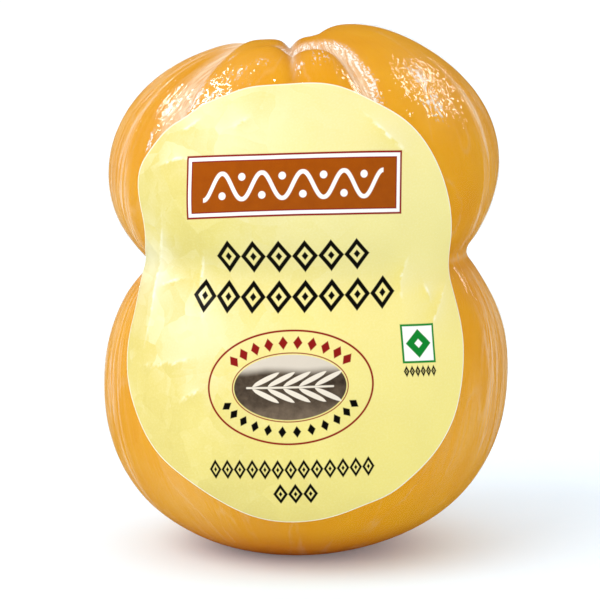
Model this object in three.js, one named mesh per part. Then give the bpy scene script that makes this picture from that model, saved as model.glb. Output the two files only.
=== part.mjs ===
import * as THREE from 'three';
import { mergeVertices } from 'three/addons/utils/BufferGeometryUtils.js';

// Smoked scamorza of 300 g in a tight clear film, with a paper label stuck on its front.
// Millimetres. X runs right, Y away from the viewer, Z up, and the cheese rests on Z = 0.

// body: two bulges that meet in a pinched waist
const LOWER = { half: 36.6, rise: 31.6, height: 30.6, shift: 0, power: 2.2 };
const UPPER = { half: 35.1, rise: 26, height: 68.9, shift: -0.45, power: 2 };
const DEPTH_RATIO = 0.95;
const WAIST_HEIGHT = 51.7;
const WAIST_BLEND = 5.9;
const WAIST_SKEW = 0.8;
const WAIST_REACH = 7;
const LEAN = 0.033;
const BASE_SOFTNESS = 0.3;
const SET_BACK = 0.3;
const SKIN_DETAIL = 20;
const FARTHEST = 120;

// crown: broad swells, in plan, where the gathered lobes stand up or lie low
const CROWN_STARTS = 64;
const CROWN_FULL = 76;
const SWELLS = [
  { x: -8.5, y: 2, wide: 8, deep: 15, rise: -2.4 },
  { x: 1, y: 4, wide: 2, deep: 9, rise: -0.8 },
  { x: 13, y: -4, wide: 7, deep: 14, rise: 0.7 },
  { x: -8.5, y: -17, wide: 5, deep: 6, rise: 1.1 },
  { x: 2.6, y: -20, wide: 3.4, deep: 4, rise: 1 },
];

// folds: grooves between the lobes, in plan, each path from its deep end to its shallow end,
// with its width on the left and on the right of someone who walks it that way
const FOLDS = [
  {
    deep: 2.9, shallow: 0.5, left: 2.2, right: 1.3,
    path: [[-3.2, 2], [-3.4, -9], [-3.1, -18], [-2.2, -28]],
  },
  { deep: 2.9, shallow: 0.3, left: 1.8, right: 1.8, path: [[-3.2, 2], [-2.4, 14], [0.5, 27]] },
  {
    deep: 2.1, shallow: 0.7, left: 1.5, right: 1.5,
    path: [[-2.6, -15.5], [1.4, -14.2], [4.8, -16.2], [7.2, -21], [8.6, -28]],
  },
  { deep: 0.9, shallow: 0.3, left: 1.6, right: 1.6, path: [[1.6, -6], [2.4, 3], [5, 14], [12, 25]] },
  {
    deep: 0.7, shallow: 0.5, left: 1.4, right: 4.2,
    path: [[-10.4, 9], [-10.8, -5], [-13.4, -13], [-18.6, -18.6], [-23.5, -22.4]],
  },
  { deep: 1.1, shallow: 0.2, left: 1.8, right: 1.8, path: [[-4.2, 8], [-9, 17], [-18, 24]] },
  { deep: 1, shallow: 0.2, left: 1.8, right: 1.8, path: [[4, 9], [14, 13], [25, 13]] },
  { deep: 0.8, shallow: 0.2, left: 2, right: 2, path: [[-6, 6], [-16, 9], [-26, 8]] },
];

// label: a flat sheet, nearly an ellipse, laid round the front; its waves are small shares of
// its size, so many to a turn, and its tuck is where a crease draws the left edge in
const LABEL_HALF_WIDTH = 34.84;
const LABEL_HALF_HEIGHT = 40.57;
const LABEL_CENTRE = -3.6;
const LABEL_TURN = THREE.MathUtils.degToRad(-4);
const LABEL_WAVES = [[-0.02, 0], [0, -0.015], [-0.01, -0.015], [-0.01, 0], [0, -0.018], [-0.015, 0.008]];
const LABEL_TUCK = { up: 8, reach: 4.5, pull: 2.6 };
const LABEL_BLEND = 7.5;
const LABEL_GAP = 0.4;
const LABEL_THICKNESS = 0.3;
const LABEL_RINGS = 12;
const LABEL_SPOKES = 64;
const MERIDIAN_STEPS = 680;
const NORMAL_STEP = 0.004;

// colours
const CHEESE_COLOUR = 0xe6a43c;
const CHEESE_ROUGHNESS = 0.3;
const LABEL_COLOUR = 0xf4eb98;
const LABEL_ROUGHNESS = 0.5;

// how finely a distance is sought, and how close two corners count as one
const REACH_TOLERANCE = 1e-7;
const MERGE_TOLERANCE = 1e-5;

function smoothMax(a, b, blend) {
  const share = THREE.MathUtils.clamp(0.5 + (a - b) / (2 * blend), 0, 1);
  return THREE.MathUtils.lerp(b, a, share) + blend * share * (1 - share);
}

function softFloor(z) {
  if (z >= BASE_SOFTNESS) return z;
  if (z <= -BASE_SOFTNESS) return 0;
  return (z + BASE_SOFTNESS) ** 2 / (4 * BASE_SOFTNESS);
}

// distance from the middle of the waist to the skin of one bulge
function reach(direction, bulge) {
  let near = 0;
  let far = FARTHEST;
  while (far - near > REACH_TOLERANCE) {
    const middle = (near + far) / 2;
    const across = Math.hypot(
      (direction.x * middle - bulge.shift) / bulge.half,
      (direction.y * middle) / (bulge.half * DEPTH_RATIO)
    );
    const up = Math.abs(WAIST_HEIGHT + direction.z * middle - bulge.height) / bulge.rise;
    if (across ** bulge.power + up ** bulge.power < 1) near = middle;
    else far = middle;
  }
  return near;
}

// how far a plan point lies from a fold: distance, side, and share of the way along
function alongFold(x, y, path) {
  const lengths = path.slice(1).map((end, i) => Math.hypot(end[0] - path[i][0], end[1] - path[i][1]));
  const total = lengths.reduce((sum, length) => sum + length, 0);
  let best = { distance: Infinity };
  let walked = 0;
  lengths.forEach((length, i) => {
    const [startX, startY] = path[i];
    const runX = (path[i + 1][0] - startX) / length;
    const runY = (path[i + 1][1] - startY) / length;
    const step = THREE.MathUtils.clamp((x - startX) * runX + (y - startY) * runY, 0, length);
    const offX = x - startX - step * runX;
    const offY = y - startY - step * runY;
    const distance = Math.hypot(offX, offY);
    if (distance < best.distance) {
      best = { distance, side: Math.sign(runX * offY - runY * offX), share: (walked + step) / total };
    }
    walked += length;
  });
  return best;
}

function foldDepth(x, y) {
  let depth = 0;
  for (const fold of FOLDS) {
    const { distance, side, share } = alongFold(x, y, fold.path);
    const width = side > 0 ? fold.left : fold.right;
    depth += THREE.MathUtils.lerp(fold.deep, fold.shallow, share) * Math.exp(-distance / width);
  }
  return depth;
}

function swellRise(x, y) {
  return SWELLS.reduce((sum, swell) => {
    const off = Math.hypot((x - swell.x) / swell.wide, (y - swell.y) / swell.deep);
    return sum + swell.rise * Math.exp(-off * off / 2);
  }, 0);
}

// point of the skin in one direction from the middle of the waist
function skin(direction, { blend, folded }) {
  let radius = smoothMax(reach(direction, UPPER), reach(direction, LOWER), blend);
  radius += WAIST_SKEW * direction.x * Math.exp(-(((radius * direction.z) / WAIST_REACH) ** 2));
  const x = radius * direction.x;
  const y = radius * direction.y;
  const crown = THREE.MathUtils.smoothstep(WAIST_HEIGHT + radius * direction.z, CROWN_STARTS, CROWN_FULL);
  if (crown > 0) radius += crown * (swellRise(x, y) - (folded ? foldDepth(x, y) : 0));
  const height = WAIST_HEIGHT + radius * direction.z + LEAN * radius * direction.x;
  return new THREE.Vector3(radius * direction.x, radius * direction.y + SET_BACK, softFloor(height));
}

// dip is measured down from straight up, turn from the front to the right
function labelSkin(dip, turn) {
  const direction = new THREE.Vector3(
    Math.sin(dip) * Math.sin(turn),
    -Math.sin(dip) * Math.cos(turn),
    Math.cos(dip)
  );
  return skin(direction, { blend: LABEL_BLEND, folded: false });
}

// length along the front of the label surface, zero at the waist and growing upwards
function frontMeridian() {
  const rows = [];
  for (let i = 1; i < MERIDIAN_STEPS; i++) {
    const dip = (Math.PI * i) / MERIDIAN_STEPS;
    const point = labelSkin(dip, 0);
    const last = rows.at(-1);
    rows.push({ dip, point, up: last ? last.up - point.distanceTo(last.point) : 0 });
  }
  const waist = rows.find((row) => row.dip >= Math.PI / 2).up;
  return rows.map(({ dip, point, up }) => ({ dip, up: up - waist, radius: SET_BACK - point.y }));
}

function meridianAt(rows, up) {
  const i = Math.max(1, rows.findIndex((row) => row.up <= up));
  const share = (rows[i - 1].up - up) / (rows[i - 1].up - rows[i].up);
  return {
    dip: THREE.MathUtils.lerp(rows[i - 1].dip, rows[i].dip, share),
    radius: THREE.MathUtils.lerp(rows[i - 1].radius, rows[i].radius, share),
  };
}

// place of a flat label point on the cheese, standing off it by a set distance
function laidPoint(rows, across, up, stand) {
  const { dip, radius } = meridianAt(rows, up);
  const turn = LABEL_TURN + across / ((radius * (1 + 1 / DEPTH_RATIO)) / 2);
  const down = labelSkin(dip + NORMAL_STEP, turn).sub(labelSkin(dip - NORMAL_STEP, turn));
  const right = labelSkin(dip, turn + NORMAL_STEP).sub(labelSkin(dip, turn - NORMAL_STEP));
  return labelSkin(dip, turn).addScaledVector(down.cross(right).normalize(), stand);
}

// moves every vertex of a unit shape and keeps it one closed body that faces out
function shapeBody(unit, place) {
  unit.deleteAttribute('uv');
  unit.deleteAttribute('normal');
  const geometry = mergeVertices(unit, MERGE_TOLERANCE);
  const position = geometry.attributes.position;
  const corner = new THREE.Vector3();
  for (let i = 0; i < position.count; i++) {
    const moved = place(corner.fromBufferAttribute(position, i));
    position.setXYZ(i, moved.x, moved.y, moved.z);
  }
  const faces = [];
  let volume = 0;
  const corners = [new THREE.Vector3(), new THREE.Vector3(), new THREE.Vector3()];
  const index = geometry.index.array;
  for (let i = 0; i < index.length; i += 3) {
    const [a, b, c] = index.slice(i, i + 3);
    if (a === b || b === c || c === a) continue;
    faces.push([a, b, c]);
    [a, b, c].forEach((vertex, k) => corners[k].fromBufferAttribute(position, vertex));
    volume += corners[0].dot(corners[1].clone().cross(corners[2]));
  }
  geometry.setIndex(faces.flatMap(([a, b, c]) => (volume > 0 ? [a, b, c] : [a, c, b])));
  geometry.computeVertexNormals();
  return geometry;
}

function cheeseGeometry() {
  return shapeBody(new THREE.IcosahedronGeometry(1, SKIN_DETAIL), (corner) =>
    skin(corner.clone().normalize(), { blend: WAIST_BLEND, folded: true })
  );
}

function labelGeometry() {
  const rows = frontMeridian();
  const profile = [];
  for (let i = 0; i <= LABEL_RINGS; i++) profile.push(new THREE.Vector2(i / LABEL_RINGS, 1));
  for (let i = LABEL_RINGS; i >= 0; i--) profile.push(new THREE.Vector2(i / LABEL_RINGS, -1));
  return shapeBody(new THREE.LatheGeometry(profile, LABEL_SPOKES), (corner) => {
    const spoke = Math.atan2(corner.z, corner.x);
    const ring = LABEL_WAVES.reduce(
      (sum, [even, odd], k) => sum + even * Math.cos((k + 1) * spoke) + odd * Math.sin((k + 1) * spoke),
      1
    ) * Math.hypot(corner.x, corner.z);
    const up = LABEL_CENTRE + LABEL_HALF_HEIGHT * ring * Math.sin(spoke);
    let across = LABEL_HALF_WIDTH * ring * Math.cos(spoke);
    if (across < 0) {
      const tuck = LABEL_TUCK.pull * Math.exp(-(((up - LABEL_TUCK.up) / LABEL_TUCK.reach) ** 2) / 2);
      across *= 1 - tuck / LABEL_HALF_WIDTH;
    }
    return laidPoint(rows, across, up, LABEL_GAP + (corner.y > 0 ? LABEL_THICKNESS : 0));
  });
}

function part(name, geometry, color, roughness) {
  const material = new THREE.MeshStandardMaterial({ name, color, roughness, metalness: 0 });
  const mesh = new THREE.Mesh(geometry, material);
  mesh.name = name;
  return mesh;
}

const scamorza = new THREE.Group();
scamorza.name = 'smoked_scamorza';
scamorza.add(part('wrapped_cheese', cheeseGeometry(), CHEESE_COLOUR, CHEESE_ROUGHNESS));
scamorza.add(part('label', labelGeometry(), LABEL_COLOUR, LABEL_ROUGHNESS));

export default scamorza;
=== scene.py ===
"""A 300 g smoked scamorza in tight clear film, with a creased paper label round its front.

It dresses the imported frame. The cheese and its film stand for the solid wrapped_cheese, and the
creased label stands for the plain one. The shape functions work in millimetres, X to the right,
Y away from the viewer and Z up, and a finished mesh is placed in metres.
"""
import math
from collections import namedtuple

import bmesh
import bpy
import numpy as np
from mathutils import Matrix, Vector


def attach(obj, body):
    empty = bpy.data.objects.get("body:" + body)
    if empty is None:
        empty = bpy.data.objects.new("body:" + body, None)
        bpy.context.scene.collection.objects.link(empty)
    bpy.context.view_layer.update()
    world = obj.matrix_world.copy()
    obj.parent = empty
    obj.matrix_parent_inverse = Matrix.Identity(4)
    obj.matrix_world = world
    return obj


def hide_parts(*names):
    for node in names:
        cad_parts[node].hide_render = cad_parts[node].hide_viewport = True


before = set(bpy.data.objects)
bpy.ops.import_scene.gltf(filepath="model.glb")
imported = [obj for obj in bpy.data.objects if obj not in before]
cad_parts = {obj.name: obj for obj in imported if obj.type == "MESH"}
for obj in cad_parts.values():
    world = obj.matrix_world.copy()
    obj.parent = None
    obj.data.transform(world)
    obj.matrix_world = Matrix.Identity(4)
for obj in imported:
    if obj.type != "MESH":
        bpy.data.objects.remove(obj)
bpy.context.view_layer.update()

bl_info = {
    "name": "Smoked scamorza",
    "version": (1, 0, 0),
    "blender": (4, 5, 0),
    "location": "3D View > Sidebar > Scamorza",
    "description": "Cheese, film and label of a small smoked scamorza, with its studio",
    "category": "Add Mesh",
}

MM = 0.001
CLOSE = 1e-6
WHITE = (1, 1, 1, 1)
MIDDLE_GREY = (0.5, 0.5, 0.5)

# body: two bulges that meet in a pinched waist, and lean a little to one side, and how the
# mean of their width and depth compares with the depth
Bulge = namedtuple("Bulge", "half rise height shift power")
LOWER = Bulge(half=36.6, rise=31.6, height=30.6, shift=0.0, power=2.2)
UPPER = Bulge(half=35.1, rise=26.0, height=68.9, shift=-0.45, power=2.0)
DEPTH_RATIO = 0.95
MEAN_OVER_DEPTH = (1 + 1 / DEPTH_RATIO) / 2
LEAN = 0.033
SET_BACK = 0.3

# waist: how softly the bulges meet, then how far the skin stands out there, all round and
# toward the right, how that changes from below to above, and the height over which it fades
WAIST_HEIGHT = 51.7
WAIST_BLEND = 3.6
WAIST_RISE, WAIST_SKEW, WAIST_TWIST, WAIST_REACH = 0.18, 0.28, 0.65, 5.4

# base: how gently the skin turns into the flat that it rests on
BASE_SOFTNESS = 0.3

# search for the skin along a ray: how far out it looks, and how often it halves that
FARTHEST, REACH_STEPS = 120.0, 30

# crown: the heights between which it begins, and broad swells, in plan, where the gathered
# lobes stand up or lie low
CROWN_STARTS = 64.0
CROWN_FULL = 76.0
Swell = namedtuple("Swell", "x y wide deep rise")
SWELLS = [
    Swell(-8.5, 2, 8, 15, -2.4),
    Swell(1, 4, 2, 9, -0.8),
    Swell(13, -4, 7, 14, 0.7),
    Swell(-8.5, -17, 5, 6, 1.1),
    Swell(2.6, -20, 3.4, 4, 1.0),
    Swell(-13, -3, 3.5, 7, 0.7),
]

# folds: grooves between the lobes, in plan, each path from its deep end to its shallow end,
# with its width on the left and on the right of someone who walks it that way, how pale the
# film over it is, and how deep the fold is where that pallor starts
# pallor: the film's own haze over a fold, raised along the two grooves into a painted highlight
Fold = namedtuple("Fold", "deep shallow left right veil starts path")
CLEFT = [(-3.2, 2), (-3.2, -9), (-2.5, -18), (-2.2, -22), (-1.9, -28)]
BACK_CLEFT = [(-3.2, 2), (-2.4, 14), (0.5, 27)]
RIGHT_GROOVE = [(-2.6, -15.4), (0.6, -16), (3.8, -17.2), (6.6, -20), (9, -24), (11.5, -29)]
LEFT_GROOVE = [(-9.5, 8), (-11.4, -4), (-13.9, -11), (-17.1, -15.8), (-19.9, -19.2), (-23, -23.5)]
FOLDS = [
    Fold(3.0, 0.5, 1.5, 1.1, 0.8, 0.5, CLEFT),
    Fold(2.9, 0.3, 1.8, 1.8, 0.6, 0.6, BACK_CLEFT),
    Fold(2.3, 1.0, 2.2, 1.0, 1.0, 0.35, RIGHT_GROOVE),
    Fold(0.7, 0.3, 1.6, 1.6, 0.6, 0.35, [(1.6, -6), (2.4, 3), (5, 14), (12, 25)]),
    Fold(0.4, 1.7, 0.8, 3.6, 1.0, 0.35, LEFT_GROOVE),
    Fold(1.1, 0.2, 1.8, 1.8, 0.6, 0.35, [(-4.2, 8), (-9, 17), (-18, 24)]),
    Fold(1.0, 0.2, 1.8, 1.8, 0.6, 0.35, [(4, 9), (14, 13), (25, 13)]),
    Fold(0.8, 0.2, 2.0, 2.0, 0.6, 0.35, [(-6, 6), (-16, 9), (-26, 8)]),
]

# film over a fold: it is palest where the fold is so many times as deep as where it turns pale
VEIL_SPAN = 2.8

# paths of folds and creases: how often their corners are cut, to make them smooth
CORNER_CUTS = 3

# cheese and film: how they part from the frame's skin, and how the film bridges the folds
CHEESE_INSET = 0.07
CHEESE_ROUNDING = 0.25
FILM_GAP = 0.04
FILM_ROUNDING = 0.9
FILM_FOLD_SHARE = 0.8
FILM_BLEND = 0.1

# their meshes, whose rows crowd at the crown and waist and whose columns crowd at the front
CHEESE_COLUMNS, CHEESE_ROWS = 300, 190
FILM_COLUMNS, FILM_ROWS = 400, 220
ROW_CROWDING, COLUMN_CROWDING = 0.08, 0.2

# soft lumps all over both, and how many cells their noise has before it repeats
LUMP_SIZE, LUMP_HEIGHT, LUMP_SEED = 13.0, 0.16, 7
NOISE_CELLS = 32

# film gathers: fans of pleats along the meridians, each from its narrow root to its wide tip.
# Dips are degrees down from the top of the cheese, so 90 is the waist, and turns are degrees
# from the front to the right
Gather = namedtuple("Gather", "turn root tip count start end")
GATHERS = [
    Gather(turn=67, root=5, tip=7, count=3, start=87, end=22),
    Gather(turn=-67, root=6, tip=9, count=3, start=86, end=18),
    Gather(turn=66, root=6, tip=12, count=4, start=93, end=160),
    Gather(turn=-71, root=8, tip=16, count=4, start=94, end=158),
    Gather(turn=80, root=16, tip=26, count=7, start=87, end=34),
    Gather(turn=82, root=18, tip=28, count=7, start=93, end=150),
    Gather(turn=-84, root=18, tip=28, count=7, start=86, end=36),
    Gather(turn=-87, root=18, tip=26, count=6, start=94, end=148),
    Gather(turn=122, root=12, tip=22, count=6, start=86, end=50),
    Gather(turn=116, root=12, tip=26, count=7, start=94, end=138),
    Gather(turn=158, root=14, tip=30, count=7, start=86, end=38),
    Gather(turn=166, root=12, tip=24, count=6, start=94, end=144),
    Gather(turn=-156, root=10, tip=20, count=5, start=86, end=54),
    Gather(turn=-148, root=14, tip=30, count=7, start=94, end=150),
    Gather(turn=-122, root=12, tip=24, count=6, start=86, end=42),
    Gather(turn=-114, root=8, tip=16, count=4, start=94, end=132),
    Gather(turn=98, root=20, tip=26, count=4, start=9, end=52),
    Gather(turn=-76, root=24, tip=34, count=4, start=16, end=52),
    Gather(turn=180, root=40, tip=46, count=5, start=10, end=48),
]
GATHER_SEED = 41

# fans: how they widen on their way, and between which shares of it they fade in and fade out
FAN_CURVE = 0.6
FAN_BEGINNING, FAN_ENDING = (-0.1, 0.02), (0.6, 1)

# pleats: the ranges of their height and width in millimetres, of where they begin and end as a
# share of the fan, of their sway in radians and its pitch, and of how far each strays from its
# place in the fan, then how long its ends taper
PLEAT_TALL, PLEAT_WIDE = (0.08, 0.24), (0.2, 0.42)
PLEAT_FIRST, PLEAT_LAST = (0, 0.15), (0.55, 1.0)
PLEAT_SWAY, PLEAT_PITCH = (-0.03, 0.03), (5, 9)
PLEAT_STRAY = (-0.05, 0.05)
PLEAT_BEGINNING, PLEAT_ENDING = 0.08, 0.35

# pleats are palest from this height, and free of the label from so far out, as a share of its
# own reach
PALEST_PLEAT = 0.4
PLEATS_START, PLEATS_FULL = 1.01, 1.09

# fine gathers: how far the streaks are drawn together at the waist, and how near it
PINCH, PINCH_REACH = 0.26, 10.0

# soft patches of the film, in degrees as above: where it is crushed, where it is painted white
# as highlights, as it also is along the far side of the right groove, and where it is hazy
Patch = namedtuple("Patch", "dip turn tall wide share")
CRACKLES = [
    Patch(43, -44, 10, 12, 1.0),
    Patch(34, -27, 8, 11, 1.0),
    Patch(42, 50, 14, 14, 1.0),
]
PAINTED_GLINT_PATCHES = [
    Patch(43, -42, 9, 4.5, 0.72),
    Patch(29, -41, 8, 4, 0.5),
    Patch(45, -52.2, 5, 1.3, 0.95),
    Patch(53.5, -54.2, 4, 1.0, 0.85),
    Patch(43, -34, 5, 6, 0.64),
    Patch(36, -29, 7, 10, 0.42),
    Patch(30, -19, 3, 8, 0.46),
    Patch(31, -3, 2, 3, 0.72),
    Patch(29, 6, 6, 9, 0.4),
    Patch(38, 47, 7, 6, 0.68),
    Patch(46, 46, 6, 7, 0.56),
]
# partly the film's own haze and partly a painted sheen, on the rims and the upper left
HAZE_SHEEN_PATCHES = [
    Patch(58, -50, 16, 8, 0.7),
    Patch(138, -38, 14, 26, 1.0),
    Patch(128, 52, 12, 16, 1.0),
    Patch(74, -78, 26, 20, 1.0),
    Patch(112, -90, 22, 24, 1.0),
    Patch(112, 92, 18, 22, 1.0),
]

# painted highlights along the right groove: how far from its line, how wide, and how strong
GROOVE_GLINT_OFF, GROOVE_GLINT_WIDE, GROOVE_GLINT_SHARE = 1.9, 1.8, 0.62

# smoked skin: the sizes and the relief of its patterns, its tone, with how much each of them
# changes that, how much its grain changes its roughness, and how little it shines
CLOUD_SIZE, MOTTLE_SIZE, GRAIN_SIZE = 16, 4.5, 1.4
MOTTLE_RELIEF, THREAD_RELIEF, GRAIN_RELIEF = 0.2, 0.06, 0.02
CURD_TONE, CLOUD_TONE, THREAD_TONE, MOTTLE_TONE, GRAIN_TONE = 0.33, 1.5, 0.2, 0.4, 0.5
GRAIN_ROUGHNESS, CURD_SPECULAR = 0.3, 0.05

# painted shade: how dark the skin is painted where a fold is at least so deep, and how dark
# its base is painted, up to a height, as the shade near the floor
FOLD_SHADE_MOST, FOLD_SHADE_FULL_AT = 0.75, 2.38
BASE_SHADE_MOST, BASE_SHADE_LOW, BASE_SHADE_HIGH = 0.86, -2.0, 9.0

# patterns drawn out along the meridians: their lumps in each radian round the body, how many
# millimetres long those are, and their detail
Grain = namedtuple("Grain", "round long detail roughness")
THREADS = Grain(14, 22, 3, 0.6)
STREAKS = Grain(20, 26, 3, 0.6)
DRAWN = Grain(60, 2.4, 3, 0.6)
WEB = Grain(15, 30, 1, 0.5)
FINE_WEB = Grain(44, 36, 1, 0.5)
CREASED = Grain(4, 22, 1, 0.5)
SHARDS_ROUND, SHARDS_LONG = 60, 6

# film: the sizes and the relief of its other patterns, how sharp the fine lines and the creases
# are beside the lines, and the values of a pattern between which a feature made of it fades in
WANDER_SIZE, WANDER_REACH = 2.2, 0.9
DRIFT_SIZE, FLECK_SIZE = 6, 0.42
STREAK_RELIEF, LINE_RELIEF, FINE_LINE_SHARE = 0.06, 0.09, 0.4
FINE_LINE_SHARPNESS, CREASE_SHARPNESS = 0.5, 2
CRUSHED_FADE, PATCHES_FADE = (0.3, 0.6), (0.35, 0.7)
DRAWN_FADE, RARE_FADE = (0.38, 0.6), (0.9, 0.92)

# lean of the film in its shards, from smooth to crushed film, and in its flecks
SHARD_LEAN, GATHERED_LEAN, LEAST_SHARD_LEAN = (0.1, 0.26), 3, 0.05
CRACKLED_LEAN, RARE_LEAN, LEAST_FLECK_LEAN = 0.38, 0.5, 0.04

# veil: how much each feature of the film hides, with two numbers where a pattern varies it
PLEAT_VEIL, LINE_VEIL, CREASE_VEIL, PAINTED_GLINT_VEIL, MOST_VEIL = 0.2, 0.36, 0.07, 0.03, 0.8
DRIFT_VEIL, FINE_LINE_VEIL, CRACKLED_VEIL = (0.4, 1.6), (0.03, 0.18), (0.005, 0.035)
BRIDGE_VEIL, DRAWN_VEIL = (0.2, 0.4), 0.24
HAZE_SHEEN_VEIL, HAZE_SHEEN_LINE_VEIL = (0.03, 0.09), 0.04

# painted highlights in white: how much their patterns and their patches weigh, between which
# sums a highlight appears, where the patches fade out, and how white it is from there to their middle
GLINT_PATTERN, GLINT_PATCH, GLINT_FADE = 0.5, 0.3, (0.67, 0.73)
GLINT_ENDS, GLINT_WHITE = (0.02, 0.1), (0.35, 0.85)

# waist band: film bunched into a soft cord where the waist is tightest
BAND_RISE, BAND_WIDTH, BAND_TILT, BAND_START, BAND_FULL = 0.24, 0.4, 1.2, 46.0, 62.0

# label: a flat sheet, nearly an ellipse, laid round the front. It has slow waves in its edge,
# given as cosine and sine shares of one turn, of two turns, and so on, and it crosses the waist
# more softly than the skin does
LABEL_HALF_WIDTH = 34.2
LABEL_HALF_HEIGHT = 40.1
LABEL_CENTRE = -3.6
LABEL_TURN = math.radians(-4)
LABEL_WAVES = [(-0.02, 0), (0, -0.015), (-0.01, -0.015), (-0.01, 0), (0, -0.018), (-0.015, 0.008)]
LABEL_BLEND = 7.5

# label's edge: a crease that draws its left side in, dents, or swells where the pull is less
# than 0, at angles from the right, and a stretch of the left side that stands off the waist
TUCK_UP, TUCK_REACH, TUCK_PULL = 9.0, 4.0, 2.6
Dent = namedtuple("Dent", "spoke spread pull")
DENTS = [
    Dent(4, 11, 1.1),
    Dent(64, 12, 0.7),
    Dent(104, 7, -0.3),
    Dent(126, 5, 0.5),
    Dent(147, 6, -0.9),
    Dent(-178, 7, 1.3),
    Dent(-152, 8, 0.4),
    Dent(-60, 8, -0.5),
]
LIFT_UP, LIFT_REACH, LIFT_RISE, LIFT_STARTS, LIFT_FULL = -0.5, 4.5, 0.9, 15.0, 28.0

# label's mesh: rings that crowd toward the edge, and steps along the meridian and for normals
LABEL_RINGS, LABEL_SPOKES, RING_CROWDING = 110, 400, 0.85
MERIDIAN_STEPS = 680
NORMAL_STEP = 0.004

# creases of the label, in flat millimetres across and up from the middle of the waist: how high
# each stands, and how far it slopes on the left and on the right of someone who walks the path
Crease = namedtuple("Crease", "rise left right path")
CREASES = [
    Crease(0.3, 0.7, 3.0, [(-24.8, 13), (-25, 9), (-26.8, 4), (-27.4, 0), (-27.8, -5), (-29.5, -12)]),
    Crease(0.3, 0.6, 2.4, [(-30.3, -15.3), (-24, -14.6), (-17.6, -13.2)]),
    Crease(0.28, 0.6, 2.0, [(-27.3, -2.2), (-23.6, -0.4), (-19.5, 0.6)]),
    Crease(0.24, 0.55, 1.8, [(-20.8, -20.6), (-15.8, -18)]),
    Crease(0.32, 0.6, 2.6, [(-26.5, 20.3), (-24.5, 20.8), (-21, 22.4), (-17.5, 21.6)]),
    Crease(0.24, 0.6, 2.0, [(-21, 27), (-19, 27.4), (-17, 29.2)]),
    Crease(0.24, 0.6, 2.0, [(-11.4, 27.6), (-9.4, 28.3), (-7.5, 30.3)]),
    Crease(0.26, 2.2, 0.7, [(20.5, 3.4), (18.6, -0.5), (19.3, -4.5)]),
    Crease(0.26, 0.6, 1.8, [(23.7, -1.2), (25.4, -5.1)]),
    Crease(0.26, 2.2, 0.7, [(29.7, -1.8), (26, -8), (23.1, -12.4)]),
    Crease(0.2, 0.8, 3.0, [(-16.5, 6), (-17.5, 0), (-16.5, -7.5)]),
    Crease(0.2, 2.6, 0.8, [(12, 30), (17, 25), (21, 22)]),
]
CREST_WIDTH, SLANT_REACH, CREASE_END = 0.24, 1.7, 0.04

# painted sheen and painted shade: where the crumpled paper is painted paler, or dimmer, than the rest
Sheen = namedtuple("Sheen", "across up wide tall share")
SHEENS = [
    Sheen(-21, -9, 10, 8, 0.5),
    Sheen(-28.5, 3, 5, 6, 0.75),
    Sheen(-12, 27, 10, 6, 0.3),
    Sheen(-20, 12, 7, 9, -0.3),
    Sheen(23, -2, 5, 7, 0.1),
    Sheen(2, 14, 20, 30, 0.06),
]

# soft lumps all over the sheet
CRUMPLE_SIZE, CRUMPLE_HEIGHT, CRUMPLE_SEED = 7.0, 0.12, 19

# paper: its patterns in lumps for each flat millimetre, how far its facets stray, its relief and
# shine, and where its pale rim is, as a share of the way out
CLOUDS_PER_MM, FACETS_PER_MM, FINE_FACETS_PER_MM, FIBRES_PER_MM = 0.07, 0.13, 0.36, 2.6
WEAR_PER_MM, SMOKE_PER_MM = 0.5, 0.55
PAPER_WANDER = 4.0
FIBRE_RELIEF, PAPER_RELIEF = 0.012, 0.2
PAPER_SPECULAR = 0.08
RIM_STARTS, RIM_FULL = 0.992, 0.997

# crumpling: how strong it is at the middle, how it falls toward the right, how far its facets
# lean the paper, and how strong the painted light and shade on those facets are
CRUMPLED, CRUMPLED_PER_MM, FACET_LEAN = 0.3, 0.02, 0.3

# painted light on the paper: sheen and shade on the sides of creases and of both sizes of
# facets, painted sheen at the middle and more for each millimetre up, painted highlights on the
# crests, and its own paleness in the fibre above a value
SLANT_PAINTED_LIGHT, FACET_PAINTED_LIGHT, FINE_FACET_PAINTED_LIGHT = 0.3, 0.1, 0.12
PAPER_PAINTED_SHEEN, PAINTED_SHEEN_PER_MM_UP = 0.14, 0.005
CREST_HIGHLIGHT_FADE = (0.42, 0.6)
FIBRE_PALE, FIBRE_PALE_ABOVE, FIBRE_ROUGHNESS = 0.35, 0.45, 0.2

# tone of the paper from its clouds, and more for each millimetre to the right, which paints
# shade on the left to even out the stronger light there
CLOUDS_TONE, PAINTED_LEFT_SHADE_PER_MM = (0.1, 0.9), 0.016

# bare back of the paper: the size of its fibre in millimetres, its relief and its roughness
BACK_FIBRE_SIZE, BACK_RELIEF, BACK_ROUGHNESS = 0.5, 0.02, 0.6

# print: the flat millimetres that its UV map spans, and how soft the ink's edge is
PRINT_SPAN = 100.0
INK_EDGE = 0.14

# brown panel: its middle, its half sizes, the margins of its frame from the outside in, how far
# its ends sag at their reach, its tilt, the vine in it, and the worn patches of its ink
PANEL_ACROSS, PANEL_UP = 0.1, 18.25
PANEL_HALF_WIDTH, PANEL_HALF_HEIGHT = 18.0, 4.15
PANEL_MARGINS = (1.15, 0.8, 0.2, 0.0)
PANEL_REACH, PANEL_SAG, PANEL_TILT = 19.0, 0.8, 0.008
Vine = namedtuple("Vine", "half_length sway pitch stroke")
VINE = Vine(15.75, 2.15, 7.0, 0.7)
BERRY_OFF, BERRY_SIZE = 0.72, 0.9
WEAR_CONTRAST, WEAR_ABOVE = 1.3, 0.4

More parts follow.
